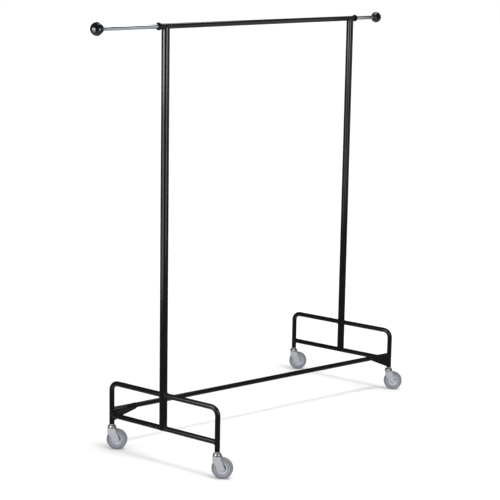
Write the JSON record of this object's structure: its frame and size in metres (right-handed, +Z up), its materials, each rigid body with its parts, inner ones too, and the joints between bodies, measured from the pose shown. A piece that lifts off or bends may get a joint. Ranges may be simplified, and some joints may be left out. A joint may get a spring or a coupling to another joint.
{
  "type": "garment rack",
  "caption": "Rolling garment rack: straight hanging rail on tube uprights, pull-out rods with ball knobs, low looped feet, diagonal brace and swivel casters.",
  "frame": {"origin": "floor level under the middle of the outline as stored, left rod out to its stop and right rod part way", "axes": "+Z up, X along the hanging rail with +X towards the shorter-drawn rod, -Y the side of the left front and right front legs"},
  "size_m": [1.871, 0.5538, 1.5825],
  "materials": {
    "powder_coat": "semi-gloss black powder coat",
    "chrome": "bright drawn chrome",
    "black_plastic": "glossy moulded black",
    "glide_plastic": "natural nylon",
    "zinc_plate": "satin zinc plating",
    "race_chrome": "bright plated pressed steel",
    "screw_steel": "dull plated",
    "wheel_plastic": "moulded blue-grey polypropylene",
    "tyre_rubber": "matt grey rubber"
  },
  "bodies": {
    "frame": {"upright_left": "powder_coat", "hoop_front_left": "powder_coat", "hoop_rear_left": "powder_coat", "low_rail_left": "powder_coat", "brace_gusset_left": "powder_coat", "rail_collar_left": "black_plastic", "stop_screw_left": "screw_steel", "gusset_screw_left_1": "screw_steel", "gusset_screw_left_2": "screw_steel", "upright_right": "powder_coat", "hoop_front_right": "powder_coat", "hoop_rear_right": "powder_coat", "low_rail_right": "powder_coat", "brace_gusset_right": "powder_coat", "rail_collar_right": "black_plastic", "stop_screw_right": "screw_steel", "gusset_screw_right_1": "screw_steel", "gusset_screw_right_2": "screw_steel", "diagonal_brace": "powder_coat", "hang_rail": "powder_coat", "leg_insert_left_front": "zinc_plate", "kingpin_left_front": "zinc_plate", "swivel_race_left_front": "race_chrome", "leg_insert_left_rear": "zinc_plate", "kingpin_left_rear": "zinc_plate", "swivel_race_left_rear": "race_chrome", "leg_insert_right_rear": "zinc_plate", "kingpin_right_rear": "zinc_plate", "swivel_race_right_rear": "race_chrome", "leg_insert_right_front": "zinc_plate", "kingpin_right_front": "zinc_plate", "swivel_race_right_front": "race_chrome"},
    "rod_left": {"extension_rod_left": "chrome", "rod_glide_left": "glide_plastic", "knob_left": "black_plastic"},
    "rod_right": {"extension_rod_right": "chrome", "rod_glide_right": "glide_plastic", "knob_right": "black_plastic"},
    "swivel_left_front": {"caster_fork_left_front": "zinc_plate", "wheel_axle_left_front": "zinc_plate", "axle_sleeve_left_front": "zinc_plate"},
    "wheel_left_front": {"wheel_core_left_front": "wheel_plastic", "tyre_left_front": "tyre_rubber"},
    "swivel_left_rear": {"caster_fork_left_rear": "zinc_plate", "wheel_axle_left_rear": "zinc_plate", "axle_sleeve_left_rear": "zinc_plate"},
    "wheel_left_rear": {"wheel_core_left_rear": "wheel_plastic", "tyre_left_rear": "tyre_rubber"},
    "swivel_right_rear": {"caster_fork_right_rear": "zinc_plate", "wheel_axle_right_rear": "zinc_plate", "axle_sleeve_right_rear": "zinc_plate"},
    "wheel_right_rear": {"wheel_core_right_rear": "wheel_plastic", "tyre_right_rear": "tyre_rubber"},
    "swivel_right_front": {"caster_fork_right_front": "zinc_plate", "wheel_axle_right_front": "zinc_plate", "axle_sleeve_right_front": "zinc_plate"},
    "wheel_right_front": {"wheel_core_right_front": "wheel_plastic", "tyre_right_front": "tyre_rubber"}
  },
  "joints": [
    {"name": "rod_slide_left", "type": "slide", "parent": "frame", "child": "rod_left", "axis": [-1, 0, 0], "range_m": [-0.291, 0]},
    {"name": "rod_slide_right", "type": "slide", "parent": "frame", "child": "rod_right", "axis": [1, 0, 0], "range_m": [-0.157, 0.134]},
    {"name": "swivel_left_front", "type": "hinge", "parent": "frame", "child": "swivel_left_front", "pos_m": [-0.558, -0.22139, 0.081], "axis": [0, 0, 1], "continuous": true},
    {"name": "wheel_spin_left_front", "type": "hinge", "parent": "swivel_left_front", "child": "wheel_left_front", "pos_m": [-0.55088, -0.23901, 0.0381], "axis": [0.9272, 0.3746, 0], "continuous": true},
    {"name": "swivel_left_rear", "type": "hinge", "parent": "frame", "child": "swivel_left_rear", "pos_m": [-0.558, 0.25661, 0.081], "axis": [0, 0, 1], "continuous": true},
    {"name": "wheel_spin_left_rear", "type": "hinge", "parent": "swivel_left_rear", "child": "wheel_left_rear", "pos_m": [-0.54879, 0.23999, 0.0381], "axis": [0.8746, 0.4848, 0], "continuous": true},
    {"name": "swivel_right_rear", "type": "hinge", "parent": "frame", "child": "swivel_right_rear", "pos_m": [0.692, 0.25661, 0.081], "axis": [0, 0, 1], "continuous": true},
    {"name": "wheel_spin_right_rear", "type": "hinge", "parent": "swivel_right_rear", "child": "wheel_right_rear", "pos_m": [0.7015, 0.24015, 0.0381], "axis": [0.866, 0.5, 0], "continuous": true},
    {"name": "swivel_right_front", "type": "hinge", "parent": "frame", "child": "swivel_right_front", "pos_m": [0.692, -0.22139, 0.081], "axis": [0, 0, 1], "continuous": true},
    {"name": "wheel_spin_right_front", "type": "hinge", "parent": "swivel_right_front", "child": "wheel_right_front", "pos_m": [0.70092, -0.23817, 0.0381], "axis": [0.8829, 0.4695, 0], "continuous": true}
  ]
}
